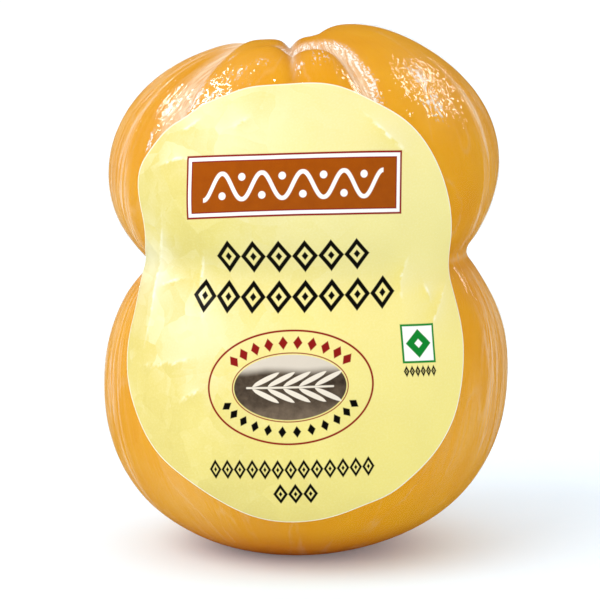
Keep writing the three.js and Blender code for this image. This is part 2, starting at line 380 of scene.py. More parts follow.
# rows of lozenges: their middle, their count, and the pitch, height and stroke of each, then
# the gap between them in strokes, and the half sizes of their dots as shares of pitch and height
LozengeRow = namedtuple("LozengeRow", "across up count pitch height stroke")
LOZENGE_ROWS = [
    LozengeRow(-0.4, 5.2, 6, 4.5, 5.2, 0.75),
    LozengeRow(-0.4, -2.5, 8, 4.55, 4.9, 0.75),
    LozengeRow(-0.3, -32.3, 13, 2.25, 2.9, 0.42),
    LozengeRow(0.4, -37.1, 3, 2.6, 3.3, 0.5),
]
LOZENGE_GAP, DOT_WIDTH, DOT_HEIGHT = 0.62, 0.13, 0.17

# oval badge: its middle, the half sizes of its outline, middle and bead ring, with the strokes
# of the lines and how far off the middle the inner one is, its beads, and its sprig
BADGE_ACROSS, BADGE_UP = -0.4, -18.1
BADGE, BADGE_STROKE = (14.4, 9.57), 0.34
BADGE_MIDDLE, MIDDLE_GAP, MIDDLE_STROKE = (9.75, 5.45), 0.3, 0.18
BEAD_RING, BEADS_ROUND = (12.1, 7.5), 30
Beads = namedtuple("Beads", "wide tall low high")
UPPER_BEADS = Beads(wide=0.8, tall=1.15, low=30, high=150)
LOWER_BEADS = Beads(wide=0.7, tall=1.0, low=-162, high=-18)
SPRIG_HALF_LENGTH, SPRIG_STEM = 7.6, 0.16
LEAF_PITCH, LEAF_LONG, LEAF_WIDE, LEAF_UP = 2.7, 1.75, 0.62, 1.35
LEAF_SLANT, LEAF_SLIDE = math.radians(38), 0.9

# smoke in the badge's middle: how strong it is, how it pales away from the sprig, and between
# which heights the pale light over the sprig fades in
SMOKE_CONTRAST, SMOKE_ABOVE, SMOKE_SHARE = 1.6, 0.35, 0.6
PALING_FADE, PALING_SHARE = (1.5, 5.2), 0.5
LIGHT_FADE, LIGHT_WAVER, LIGHT_SHARE = (1.8, 3.6), 2, 0.8

# green mark: its middle, how askew it is, and the half sizes of its shapes
MARK_ACROSS, MARK_UP = 22.5, -12.0
MARK_LEAN, MARK_DROOP = 0.1, 0.066
MARK_SQUARE, MARK_FIELD = (3.35, 3.25), (2.95, 2.88)
MARK_LOZENGE, MARK_MIDDLE = (2.5, 2.4), (0.8, 0.75)
MARK_ROW = LozengeRow(0, -4.6, 6, 1.1, 1.3, 0.3)

# studio: what the camera looks at, then the two softboxes, with the directions of their middles
# and of their long sides seen from there, their distances and sizes in metres, and the share of
# the full brightness, and then the key, the floor and the camera's sensor
AIM = Vector((-1.1, 0.3, 44.8)) * MM
Softbox = namedtuple("Softbox", "middle along distance length width share")
SOFTBOXES = [
    Softbox((-0.66, 0.16, 0.74), (0.2, 0.22, 0.1), 0.9, 0.36, 0.16, 1.0),
    Softbox((0.64, 0.36, 0.68), (0.37, -0.23, -0.21), 0.9, 0.34, 0.3, 0.32),
]
KEY_FROM = Vector((-0.7, -0.5, 0.7))
KEY_SPREAD = math.radians(50)
FLOOR_RADIUS, FLOOR_SIDES = 8.0, 128
FLOOR_GRAIN_SIZE, FLOOR_GRAIN_SHARE = 3, 0.1
FLOOR_ROUGHNESS, FLOOR_SPECULAR = 0.9, 0.1
SENSOR = 36.0
NEAREST_SEEN = 0.01


# Forms of the body, worked out for many directions or places at once

def smooth_max(a, b, blend):
    share = np.clip(0.5 + (a - b) / (2 * blend), 0, 1)
    return b + (a - b) * share + blend * share * (1 - share)


def smooth_step(value, low, high):
    share = np.clip((value - low) / (high - low), 0, 1)
    return share * share * (3 - 2 * share)


def bell(value, width):
    return np.exp(-((value / width) ** 2))


def ray_of(dip, turn):
    """Unit rays: dip is measured down from straight up, turn from the front to the right."""
    return np.stack([np.sin(dip) * np.sin(turn), -np.sin(dip) * np.cos(turn), np.cos(dip)], 1)


def angles_of(rays):
    """The dip and the turn of unit rays, in radians."""
    return np.arccos(np.clip(rays[:, 2], -1, 1)), np.arctan2(rays[:, 0], -rays[:, 1])


def half_turned(degrees):
    """The same angles, from -180 to 180 degrees."""
    return (degrees + 180) % 360 - 180


def reach(rays, bulge):
    """Distance from the middle of the waist to the skin of one bulge, along each unit ray."""
    near = np.zeros(len(rays))
    far = np.full(len(rays), FARTHEST)
    for _ in range(REACH_STEPS):
        middle = (near + far) / 2
        across = np.hypot(
            (rays[:, 0] * middle - bulge.shift) / bulge.half,
            rays[:, 1] * middle / (bulge.half * DEPTH_RATIO),
        )
        up = np.abs(WAIST_HEIGHT + rays[:, 2] * middle - bulge.height) / bulge.rise
        inside = across**bulge.power + up**bulge.power < 1
        near = np.where(inside, middle, near)
        far = np.where(inside, far, middle)
    return near


def rounded_path(path):
    """The path with its corners cut a few times, so that what follows it bends smoothly."""
    points = np.array(path, float)
    for _ in range(CORNER_CUTS):
        early = points[:-1] * 0.75 + points[1:] * 0.25
        late = points[:-1] * 0.25 + points[1:] * 0.75
        middle = np.stack([early, late], 1).reshape(-1, 2)
        points = np.concatenate([points[:1], middle, points[-1:]])
    return points


def along_path(x, y, points):
    """For each place: its distance from a path, the side it lies on, and its share of the way."""
    runs = np.diff(points, axis=0)
    lengths = np.linalg.norm(runs, axis=1)
    walked = np.concatenate([[0], np.cumsum(lengths)])
    best = np.full(len(x), np.inf)
    side = np.zeros(len(x))
    share = np.zeros(len(x))
    for start, run, length, before in zip(points, runs, lengths, walked):
        run = run / length
        step = np.clip((x - start[0]) * run[0] + (y - start[1]) * run[1], 0, length)
        off_x = x - start[0] - step * run[0]
        off_y = y - start[1] - step * run[1]
        distance = np.hypot(off_x, off_y)
        nearer = distance < best
        best = np.where(nearer, distance, best)
        side = np.where(nearer, np.sign(run[0] * off_y - run[1] * off_x), side)
        share = np.where(nearer, (before + step) / walked[-1], share)
    return best, side, share


def fold_depth(x, y, rounding):
    """Depth of all the folds at a plan place, and how pale the film is that bridges them.

    A larger rounding bridges the folds, as film does.
    """
    depth = np.zeros(len(x))
    veil = np.zeros(len(x))
    for fold in FOLDS:
        distance, side, share = along_path(x, y, rounded_path(fold.path))
        width = np.where(side > 0, fold.left, fold.right)
        deep = fold.deep + (fold.shallow - fold.deep) * share
        own = deep * np.exp(-(np.hypot(distance, rounding) - rounding) / width)
        veil = np.maximum(veil, fold.veil * smooth_step(own, fold.starts, VEIL_SPAN * fold.starts))
        depth += own
    return depth, veil


def swell_rise(x, y):
    rise = np.zeros(len(x))
    for swell in SWELLS:
        off = np.hypot((x - swell.x) / swell.wide, (y - swell.y) / swell.deep)
        rise += swell.rise * np.exp(-off * off / 2)
    return rise


def skin_radius(rays, blend=WAIST_BLEND):
    """Distance to the unfolded skin, with the share of crown and the plan place of each ray."""
    radius = smooth_max(reach(rays, UPPER), reach(rays, LOWER), blend)
    above = radius * rays[:, 2] / WAIST_REACH
    skew = (WAIST_SKEW + WAIST_TWIST * above) * rays[:, 0]
    radius = radius + (WAIST_RISE + skew) * bell(above, 1)
    x = radius * rays[:, 0]
    y = radius * rays[:, 1]
    crown = smooth_step(WAIST_HEIGHT + radius * rays[:, 2], CROWN_STARTS, CROWN_FULL)
    return radius + crown * swell_rise(x, y), crown, x, y


def placed(rays, radius, floor=0.0):
    """Points in the shared frame, in millimetres, with the lean and the flat at the bottom."""
    points = rays * radius[:, None]
    height = WAIST_HEIGHT + points[:, 2] + LEAN * points[:, 0] - floor
    soft = (height + BASE_SOFTNESS) ** 2 / (4 * BASE_SOFTNESS)
    height = np.where(height >= BASE_SOFTNESS, height, np.where(height <= -BASE_SOFTNESS, 0, soft))
    return np.stack([points[:, 0], points[:, 1] + SET_BACK, height + floor], 1)


def value_noise(points, size, seed):
    """Smooth noise from -1 to 1 with lumps of the given size, the same on every run."""
    table = np.random.default_rng(seed).uniform(-1, 1, (NOISE_CELLS, NOISE_CELLS, NOISE_CELLS))
    scaled = points / size
    base = np.floor(scaled).astype(int)
    part = scaled - base
    part = part * part * (3 - 2 * part)
    total = np.zeros(len(points))
    for corner in np.ndindex(2, 2, 2):
        index = (base + corner) % NOISE_CELLS
        weight = np.prod(np.where(corner, part, 1 - part), axis=1)
        total += weight * table[index[:, 0], index[:, 1], index[:, 2]]
    return total


# Forms of the label

def front_meridian():
    """Dips down the front of the label surface, the length up from the waist, and the radius."""
    dip = np.pi * np.arange(1, MERIDIAN_STEPS) / MERIDIAN_STEPS
    rays = ray_of(dip, np.zeros(len(dip)))
    points = placed(rays, skin_radius(rays, LABEL_BLEND)[0])
    steps = np.linalg.norm(np.diff(points, axis=0), axis=1)
    up = -np.concatenate([[0], np.cumsum(steps)])
    waist = np.interp(np.pi / 2, dip, up)
    return dip, up - waist, SET_BACK - points[:, 1]


def label_wave(spoke):
    ring = np.ones(len(spoke))
    for turns, (even, odd) in enumerate(LABEL_WAVES, start=1):
        ring += even * np.cos(turns * spoke) + odd * np.sin(turns * spoke)
    for dent in DENTS:
        off = half_turned(np.degrees(spoke) - dent.spoke)
        ring -= dent.pull / LABEL_HALF_WIDTH * bell(off, dent.spread)
    return ring


def tuck_share(up):
    """How much a crease draws the left edge in, as a share of the label's half width."""
    return TUCK_PULL / LABEL_HALF_WIDTH * np.exp(-(((up - TUCK_UP) / TUCK_REACH) ** 2) / 2)


def flat_label(spoke, share):
    """Flat places, across and up from the middle of the waist, at a share of the way out."""
    ring = share * label_wave(spoke)
    up = LABEL_CENTRE + LABEL_HALF_HEIGHT * ring * np.sin(spoke)
    across = LABEL_HALF_WIDTH * ring * np.cos(spoke)
    return np.where(across < 0, across * (1 - tuck_share(up)), across), up


def label_share(dip, turn, meridian):
    """How far out each ray passes the label: 0 at its middle, 1 at its edge, more beyond."""
    dips, ups, radii = meridian
    up = np.interp(dip, dips, ups)
    radius = np.interp(dip, dips, radii)
    across = (turn - LABEL_TURN) * radius * MEAN_OVER_DEPTH
    across = np.where(across < 0, across / (1 - tuck_share(up)), across)
    right = across / LABEL_HALF_WIDTH
    above = (up - LABEL_CENTRE) / LABEL_HALF_HEIGHT
    return np.hypot(right, above) / label_wave(np.arctan2(above, right))


def laid_points(across, up, stand, meridian):
    """Places of flat label points on the lumpy film, standing off it along its normal."""
    dips, ups, radii = meridian
    dip = np.interp(-up, -ups, dips)
    radius = np.interp(-up, -ups, radii)
    turn = LABEL_TURN + across / (radius * MEAN_OVER_DEPTH)

    def skin(dip, turn):
        rays = ray_of(dip, turn)
        radius = skin_radius(rays, LABEL_BLEND)[0]
        return placed(rays, radius + lumps(rays * radius[:, None]))

    down = skin(dip + NORMAL_STEP, turn) - skin(dip - NORMAL_STEP, turn)
    right = skin(dip, turn + NORMAL_STEP) - skin(dip, turn - NORMAL_STEP)
    normal = np.cross(down, right)
    normal /= np.linalg.norm(normal, axis=1)[:, None]
    return skin(dip, turn) + normal * stand[:, None]


def crease_rise(across, up):
    """How high the creases stand, how near their crests are, and how lit their sides are.

    A side is lit from 0 to 1 and dim from 0 to -1.
    """
    rise = np.zeros(len(across))
    crest = np.zeros(len(across))
    slant = np.zeros(len(across))
    for crease in CREASES:
        distance, side, share = along_path(across, up, rounded_path(crease.path))
        width = np.where(side > 0, crease.left, crease.right)
        fade = np.sin(np.pi * np.clip(share, CREASE_END, 1 - CREASE_END))
        rise += crease.rise * np.exp(-distance / width) * fade
        crest = np.maximum(crest, bell(distance, CREST_WIDTH) * fade)
        slant += side * np.exp(-distance / SLANT_REACH) * fade
    return rise, crest, np.clip(slant, -1, 1)


def sheen_share(across, up):
    share = np.zeros(len(across))
    for sheen in SHEENS:
        share += sheen.share * bell(across - sheen.across, sheen.wide) * bell(up - sheen.up, sheen.tall)
    return share


def edge_lift(across, up):
    """How far the left edge stands off where it bridges the waist."""
    return LIFT_RISE * bell(up - LIFT_UP, LIFT_REACH) * smooth_step(-across, LIFT_STARTS, LIFT_FULL)


# Forms of the film

def pleat_height(dip, turn, around):
    """How high the film's pleats stand, in millimetres, at each dip and turn."""
    random = np.random.default_rng(GATHER_SEED)
    degrees = np.degrees(dip)
    height = np.zeros(len(dip))
    for gather in GATHERS:
        span = gather.end - gather.start
        for place in range(gather.count):
            fan = (place + 0.5) / gather.count - 0.5
            root = math.radians(gather.turn + gather.root * (fan + random.uniform(*PLEAT_STRAY)))
            tip = math.radians(gather.turn + gather.tip * (fan + random.uniform(*PLEAT_STRAY)))
            tall = random.uniform(*PLEAT_TALL)
            width = random.uniform(*PLEAT_WIDE)
            first = random.uniform(*PLEAT_FIRST)
            last = random.uniform(*PLEAT_LAST)
            sway = random.uniform(*PLEAT_SWAY)
            pitch = random.uniform(*PLEAT_PITCH)
            along = (degrees - gather.start) / span
            share = np.clip(along, 0, 1)
            line = root + (tip - root) * share**FAN_CURVE + sway * np.sin(share * pitch)
            off = (turn - line + np.pi) % (2 * np.pi) - np.pi
            begins = smooth_step(along, first - PLEAT_BEGINNING, first + PLEAT_BEGINNING)
            ends = 1 - smooth_step(share, last - PLEAT_ENDING, last)
            height += tall * begins * ends * bell(off * around, width)
    return height


def fan_share(dip, turn):
    """How far inside any fan of pleats each place is, from 0 to 1."""
    degrees = np.degrees(dip)
    inside = np.zeros(len(dip))
    for gather in GATHERS:
        along = (degrees - gather.start) / (gather.end - gather.start)
        spread = gather.root + (gather.tip - gather.root) * np.clip(along, 0, 1) ** FAN_CURVE
        off = half_turned(np.degrees(turn) - gather.turn)
        fade = smooth_step(along, *FAN_BEGINNING) * (1 - smooth_step(along, *FAN_ENDING))
        inside = np.maximum(inside, bell(off, spread / 2) * fade)
    return inside


def band_height(rays, radius):
    """The cord of bunched film round the sides and the back of the waist."""
    above = radius * rays[:, 2] - BAND_TILT * rays[:, 0]
    turn = np.degrees(np.abs(angles_of(rays)[1]))
    return BAND_RISE * bell(above, BAND_WIDTH) * smooth_step(turn, BAND_START, BAND_FULL)


def patch_share(rays, patches):
    """How far inside any of some soft patches each ray is, from 0 to 1."""
    dip, turn = np.degrees(angles_of(rays))
    share = np.zeros(len(rays))
    for patch in patches:
        near = bell(dip - patch.dip, patch.tall) * bell(turn - patch.turn, patch.wide)
        share = np.maximum(share, patch.share * near)
    return share


def groove_glints(points):
    """How much painted highlight the film has along the far side of the right groove."""
    distance, side, _ = along_path(points[:, 0], points[:, 1], rounded_path(RIGHT_GROOVE))
    near = bell(distance - GROOVE_GLINT_OFF, GROOVE_GLINT_WIDE)
    return GROOVE_GLINT_SHARE * (side > 0) * (points[:, 2] > 0) * near


def lumps(points):
    return LUMP_HEIGHT * value_noise(points, LUMP_SIZE, LUMP_SEED)


def cheese_radius(rays):
    """Distance to the cheese, the depth of its folds, and how pale the film over them is."""
    radius, crown, x, y = skin_radius(rays)
    depth, veil = fold_depth(x, y, CHEESE_ROUNDING)
    return radius - crown * depth - CHEESE_INSET, crown * depth, crown * veil


def film_radius(rays, pleat_size):
    """Distance to the film, how pale it is where it bridges folds, and its height in pleats."""
    plain, crown, x, y = skin_radius(rays)
    cheese, _, veil = cheese_radius(rays)
    taut = plain - crown * FILM_FOLD_SHARE * fold_depth(x, y, FILM_ROUNDING)[0]
    film = smooth_max(taut, cheese + FILM_GAP, FILM_BLEND)
    dip, turn = angles_of(rays)
    around = film * np.hypot(rays[:, 0], rays[:, 1])
    free = smooth_step(label_share(dip, turn, front_meridian()), PLEATS_START, PLEATS_FULL)
    raised = free * pleat_size * (pleat_height(dip, turn, around) + band_height(rays, film))
    return film + raised, veil, raised


# Meshes

def round_body(columns, rows):
    """A closed ball as a bmesh, and the unit rays that its vertices are to lie on."""
    body = bmesh.new()
    bmesh.ops.create_uvsphere(body, u_segments=columns // 2, v_segments=rows // 2, radius=1)
    bmesh.ops.subdivide_edges(body, edges=body.edges, cuts=1, use_grid_fill=True)
    corners = np.array([vertex.co.normalized() for vertex in body.verts])
    dip, turn = angles_of(corners)
    dip -= ROW_CROWDING * np.sin(4 * dip)
    turn += COLUMN_CROWDING * np.sin(2 * turn)
    return body, ray_of(dip, turn)


def place_vertices(body, points):
    for vertex, point in zip(body.verts, points * MM):
        vertex.co = point


def label_sheet():
    """A flat disc as a bmesh, spun from a row of points, with each vertex's spoke and share."""
    sheet = bmesh.new()
    shares = [(ring / LABEL_RINGS) ** RING_CROWDING for ring in range(LABEL_RINGS + 1)]
    row = [sheet.verts.new((share, 0, 0)) for share in shares]
    edges = [sheet.edges.new(pair) for pair in zip(row, row[1:])]
    bmesh.ops.spin(
        sheet,
        geom=row + edges,
        axis=(0, 0, 1),
        cent=(0, 0, 0),
        angle=2 * math.pi,
        steps=LABEL_SPOKES,
        use_merge=True,
    )
    bmesh.ops.remove_doubles(sheet, verts=sheet.verts, dist=CLOSE)
    corners = np.array([vertex.co for vertex in sheet.verts])
    return sheet, np.arctan2(corners[:, 1], corners[:, 0]), np.hypot(corners[:, 0], corners[:, 1])


def new_object(name, data):
    """An object in the scene, made of a mesh, a camera or a light."""
    made = bpy.data.objects.new(name, data)
    bpy.context.scene.collection.objects.link(made)
    return made


def make_piece(name, body, materials, slot, node, **attributes):
    """Turns a bmesh into a smooth piece that rides on the frame and stands for a node."""
    mesh = bpy.data.meshes.new(name)
    body.to_mesh(mesh)
    body.free()
    mesh.shade_smooth()
    for material in materials:
        mesh.materials.append(material)
    for key, values in attributes.items():
        mesh.attributes.new(key, "FLOAT", "POINT").data.foreach_set("value", values)
    piece = new_object(name, mesh)
    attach(piece, "root")
    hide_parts(node)
    return piece


# Shader nodes written as Python expressions

class Wire:
    """An output of a node. Arithmetic on it adds Math nodes to the same tree."""

    def __init__(self, graph, socket):
        self.graph = graph
        self.socket = socket

    def out(self, name):
        """Another output of the same node."""
        return Wire(self.graph, self.socket.node.outputs[name])

    def __add__(self, other):
        return self.graph.maths("ADD", self, other)

    __radd__ = __add__

    def __sub__(self, other):
        return self.graph.maths("SUBTRACT", self, other)

    def __rsub__(self, other):
        return self.graph.maths("SUBTRACT", other, self)

    def __mul__(self, other):
        return self.graph.maths("MULTIPLY", self, other)

    __rmul__ = __mul__

    def __truediv__(self, other):
        return self.graph.maths("DIVIDE", self, other)

    def __pow__(self, other):
        return self.graph.maths("POWER", self, other)

    def __abs__(self):
        return self.graph.maths("ABSOLUTE", self)

    def __neg__(self):
        return self.graph.maths("MULTIPLY", self, -1)


class Graph:
    """The node tree of a material or of the world."""

    def __init__(self, owner):
        owner.use_nodes = True
        self.tree = owner.node_tree
        self.tree.nodes.clear()

    def node(self, kind, settings=None, sockets=None, output=0):
        """Adds a node: its settings first, then the value or the link of each socket."""
        node = self.tree.nodes.new("ShaderNode" + kind)
        for name, value in (settings or {}).items():
            setattr(node, name, value)
        for name, value in (sockets or {}).items():
            if isinstance(value, Wire):
                self.tree.links.new(value.socket, node.inputs[name])
            else:
                node.inputs[name].default_value = value
        return Wire(self, node.outputs[output]) if len(node.outputs) else None

    def maths(self, operation, *values):
        return self.node("Math", {"operation": operation}, dict(enumerate(values)))

    def least(self, a, b):
        return self.maths("MINIMUM", a, b)

    def most(self, a, b):
        return self.maths("MAXIMUM", a, b)

    def limited(self, value):
        return self.node("Clamp", sockets={"Value": value})

    def step(self, value, low, high):
        """0 below low, 1 above high, and a smooth slope between."""
        return self.node(
            "MapRange",
            {"interpolation_type": "SMOOTHSTEP"},
            {"Value": value, "From Min": low, "From Max": high},
        )

    def mixed(self, factor, first, second):
        """Two colours mixed."""
        colours = {0: factor, 6: first, 7: second}
        return self.node("Mix", {"data_type": "RGBA"}, colours, output=2)

    def vector(self, operation, first, second=(0, 0, 0), scale=1.0):
        return self.node("VectorMath", {"operation": operation}, {0: first, 1: second, 3: scale})

    def joined(self, x, y, z):
        return self.node("CombineXYZ", sockets={"X": x, "Y": y, "Z": z})

    def parts(self, vector):
        split = self.node("SeparateXYZ", sockets={"Vector": vector})
        return [split.out(axis) for axis in "XYZ"]

    def attribute(self, name):
        return self.node("Attribute", {"attribute_name": name}, output="Fac")

    def noise(self, place, scale, detail=2.0, roughness=0.5):
        """Noise from 0 to 1, with a scale in lumps for each unit of the place."""
        return self.node(
            "TexNoise",
            sockets={"Vector": place, "Scale": scale, "Detail": detail, "Roughness": roughness},
        )

    def facets(self, place, scale):
        """A colour of its own for each cell of a pattern."""
        return self.node("TexVoronoi", sockets={"Vector": place, "Scale": scale}, output="Color")

    def strayed(self, place, scale, distance):
        """The place moved about by noise, so that a pattern laid on it wanders."""
        wander = self.node("TexNoise", sockets={"Vector": place, "Scale": scale}, output="Color")
        return self.vector("ADD", place, self.vector("SCALE", wander, scale=distance))

    def crumple(self, place, scale):
        """Facets that each slope their own way: the way, and the height along it."""
        facets = self.facets(place, scale)
        lean = self.vector("SUBTRACT", facets, MIDDLE_GREY)
        inside = self.vector("SUBTRACT", place, facets.out("Position"))
        return facets, self.vector("DOT_PRODUCT", lean, inside).out("Value")

    def bump(self, height, normal=None):
        """Relief from a height in millimetres."""
        sockets = {"Height": height, "Distance": MM}
        if normal is not None:
            sockets["Normal"] = normal
        return self.node("Bump", sockets=sockets)

    def layered(self, share, under, over):
        """One shader over another, by a share from 0 to 1."""
        return self.node("MixShader", sockets={0: share, 1: under, 2: over})

    def surface(self, shader):
        self.node("OutputMaterial", sockets={"Surface": shader})

    def solid(self, sockets):
        """Ends a material in the shader of things that aren't clear."""
        self.surface(self.node("BsdfPrincipled", sockets=sockets))


def srgb(code):
    """A colour from its usual hexadecimal code, as linear red, green and blue."""
    parts = [(code >> shift & 255) / 255 for shift in (16, 8, 0)]
    return tuple(
        part / 12.92 if part <= 0.04045 else ((part + 0.055) / 1.055) ** 2.4 for part in parts
    )


def full(colour):
    """A colour with its alpha, as a node's socket takes it."""
    return (*colour, 1.0)


def per_mm(size):
    """The scale of a pattern on Object coordinates whose lumps are that many millimetres."""
    return 1 / (size * MM)


def facet_normal(graph, normal, facets, tilt):
    """Leans the normal its own way in each facet of a pattern, as crushed film does."""
    lean = graph.vector("SUBTRACT", facets, MIDDLE_GREY)
    leant = graph.vector("ADD", normal, graph.vector("SCALE", lean, scale=tilt))
    return graph.vector("NORMALIZE", leant)


def meridian_place(graph, spot, round_scale, long_scale):
    """A place for streaks that run up and down, and crowd together at the sides of the waist."""
    x, y, z = graph.parts(spot)
    turn = graph.maths("ARCTAN2", x, -y)
    above = (z - WAIST_HEIGHT * MM) * per_mm(PINCH_REACH)
    turn = turn - graph.maths("SINE", turn * 2) * PINCH / (above * above + 1)
    around = graph.maths("COSINE", turn) * round_scale
    return graph.joined(around, graph.maths("SINE", turn) * round_scale, z * per_mm(long_scale))


def long_noise(graph, spot, grain):
    """Noise from 0 to 1, drawn out along the meridians."""
    place = meridian_place(graph, spot, grain.round, grain.long)
    return graph.noise(place, 1.0, detail=grain.detail, roughness=grain.roughness)


def swing(pattern, amount):
    """A pattern from 0 to 1 as a change to either side of nothing."""
    return (pattern - 0.5) * amount


def ranged(pattern, low, high):
    """A pattern from 0 to 1 as a value from low to high."""
    return pattern * (high - low) + low


def thin_lines(graph, pattern, sharpness):
    """Lines, 1 along their middles, where a pattern crosses its own middle."""
    return 1 - graph.limited(abs(pattern - 0.5) * sharpness)


# Materials of the cheese and the film

def cheese_material(settings):
    """Smoked curd: cloudy, mottled and threaded, with painted shade in the folds and round the base."""
    material = bpy.data.materials.new("smoked_curd")
    graph = Graph(material)
    spot = graph.node("TexCoord", output="Object")
    clouds = graph.noise(spot, per_mm(CLOUD_SIZE), detail=3, roughness=0.55)
    mottle = graph.noise(spot, per_mm(MOTTLE_SIZE))
    grain = graph.noise(spot, per_mm(GRAIN_SIZE))
    threads = long_noise(graph, spot, THREADS)
    tone = CURD_TONE + swing(clouds, CLOUD_TONE) + swing(threads, THREAD_TONE)
    tone = graph.limited(tone + swing(mottle, MOTTLE_TONE))
    # painted shade: the skin is darker where the fold under it is deeper
    fold = graph.limited(graph.attribute("fold") / FOLD_SHADE_FULL_AT) * FOLD_SHADE_MOST
    _, _, height = graph.parts(spot)
    # painted shade: the skin is darker towards the bottom, near the floor
    base = (1 - graph.step(height, BASE_SHADE_LOW * MM, BASE_SHADE_HIGH * MM)) * BASE_SHADE_MOST
    colour = graph.mixed(tone, full(settings.deep_colour), full(settings.skin_colour))
    speckle = graph.limited(swing(grain, GRAIN_TONE))
    colour = graph.mixed(speckle, colour, full(settings.pale_colour))
    colour = graph.mixed(fold, colour, full(settings.fold_shade_colour))
    colour = graph.mixed(base, colour, full(settings.base_shade_colour))
    relief = grain * GRAIN_RELIEF + threads * THREAD_RELIEF + mottle * MOTTLE_RELIEF
    graph.solid({
        "Base Color": colour,
        "Roughness": graph.limited(settings.roughness + swing(grain, GRAIN_ROUGHNESS)),
        "Normal": graph.bump(relief),
        "Specular IOR Level": CURD_SPECULAR,
    })
    return material


def crushed_normal(graph, strayed, crushed, gathered, crackled):
    """The film's normal, leant in long shards where it is gathered and in flecks elsewhere."""
    shards = graph.facets(meridian_place(graph, strayed, SHARDS_ROUND, SHARDS_LONG), 1.0)
    lean = ranged(crushed, *SHARD_LEAN) * (graph.least(gathered * GATHERED_LEAN, 1) + crackled)
    plain = graph.node("NewGeometry", output="Normal")
    leaning = facet_normal(graph, plain, shards, lean + LEAST_SHARD_LEAN)
    flecks = graph.facets(strayed, per_mm(FLECK_SIZE))
    rare = graph.step(graph.parts(flecks)[1], *RARE_FADE) * (1 - gathered)
    lean = crackled * CRACKLED_LEAN + rare * RARE_LEAN + LEAST_FLECK_LEAN
    return facet_normal(graph, leaning, flecks, lean)


def film_material(settings):
    """Clear film: a thin mirror over what is behind it, hazed where it is gathered, with painted
    highlights.
    """
    material = bpy.data.materials.new("clear_film")
    graph = Graph(material)
    marks = "gathered", "crackled", "pleat", "bridged", "smeared", "scuffed"
    gathered, crackled, pleat, bridged, smeared, scuffed = map(graph.attribute, marks)
    spot = graph.node("TexCoord", output="Object")
    strayed = graph.strayed(spot, per_mm(WANDER_SIZE), WANDER_REACH * MM)
    drift = graph.noise(spot, per_mm(DRIFT_SIZE))
    crushed = graph.step(drift, *CRUSHED_FADE)
    ragged = graph.noise(strayed, per_mm(FLECK_SIZE), detail=3, roughness=0.6)
    drawn = long_noise(graph, strayed, DRAWN)
    streaks = long_noise(graph, spot, STREAKS)
    patches = graph.step(streaks, *PATCHES_FADE)
    sharp = settings.line_sharpness
    lines = thin_lines(graph, long_noise(graph, spot, WEB), sharp)
    fine_lines = thin_lines(graph, long_noise(graph, spot, FINE_WEB), sharp * FINE_LINE_SHARPNESS)
    creases = thin_lines(graph, long_noise(graph, strayed, CREASED), sharp * CREASE_SHARPNESS)

    leaning = crushed_normal(graph, strayed, crushed, gathered, crackled)
    relief = (lines + fine_lines * FINE_LINE_SHARE) * gathered * LINE_RELIEF
    normal = graph.bump(streaks * STREAK_RELIEF + relief, leaning)
    clear = graph.node("BsdfTransparent", sockets={"Color": WHITE})
    mirror = graph.node(
        "BsdfAnisotropic",
        sockets={"Color": WHITE, "Roughness": settings.roughness, "Normal": normal},
    )
    outside = 1 - graph.node("NewGeometry", output="Backfacing")
    gloss = graph.node("Fresnel", sockets={"IOR": settings.gloss, "Normal": normal})
    film = graph.layered(graph.least(gloss, settings.rim_gloss) * outside, clear, mirror)

    gathers = pleat * PLEAT_VEIL + lines * gathered * LINE_VEIL
    gathers = gathers + fine_lines * gathered * ranged(patches, *FINE_LINE_VEIL)
    bridges = ranged(patches, *BRIDGE_VEIL) + graph.step(drawn, *DRAWN_FADE) * DRAWN_VEIL
    veil = (
        settings.haze * ranged(drift, *DRIFT_VEIL)
        + gathers * settings.pleat_haze
        # film over folds: its own haze, with a painted highlight along the grooves
        + bridged * bridges * settings.fold_haze
        + creases * crushed * CREASE_VEIL
        + crackled * ranged(ragged, *CRACKLED_VEIL)
        # the film's own haze with a painted sheen, in the hazy patches
        + smeared * (ranged(patches, *HAZE_SHEEN_VEIL) + fine_lines * HAZE_SHEEN_LINE_VEIL)
        + scuffed * PAINTED_GLINT_VEIL
    )
    haze = graph.node("BsdfDiffuse", sockets={"Color": full(settings.haze_colour)})
    film = graph.layered(graph.least(veil, MOST_VEIL) * outside, film, haze)

    # painted highlights: white patches over the film that stand in for glints of the softboxes
    painted_glints = (ragged + drawn) * GLINT_PATTERN + scuffed * GLINT_PATCH
    painted_glints = graph.step(painted_glints, *GLINT_FADE) * graph.step(scuffed, *GLINT_ENDS)
    painted_glints = painted_glints * ranged(scuffed, *GLINT_WHITE) * outside
    white = graph.node("BsdfDiffuse", sockets={"Color": full(settings.painted_glint_colour)})
    graph.surface(graph.layered(painted_glints, film, white))
    return material


# Printed shapes, as distances outside them in flat label millimetres

def box_distance(graph, across, up, half_width, half_height):
    return graph.most(abs(across) - half_width, abs(up) - half_height)


def pill_distance(graph, across, up, half_width, half_height):
    straight = graph.most(abs(across) - (half_width - half_height), 0)
    return (straight * straight + up * up) ** 0.5 - half_height


def oval_distance(graph, across, up, half_width, half_height):
    """Distance outside an ellipse, true near its edge."""
    near = ((across / half_width) ** 2 + (up / half_height) ** 2) ** 0.5
    slope = ((across / half_width**2) ** 2 + (up / half_height**2) ** 2) ** 0.5
    return near * (near - 1) / graph.most(slope, CLOSE)


def lozenge_distance(across, up, half_width, half_height):
    slant = math.hypot(half_width, half_height)
    return (abs(across) * half_height + abs(up) * half_width - half_width * half_height) / slant


def repeated(graph, across, pitch):
    """The place inside each of a row of equal cells, from the middle of its cell."""
    return graph.maths("WRAP", across, pitch / 2, -pitch / 2)


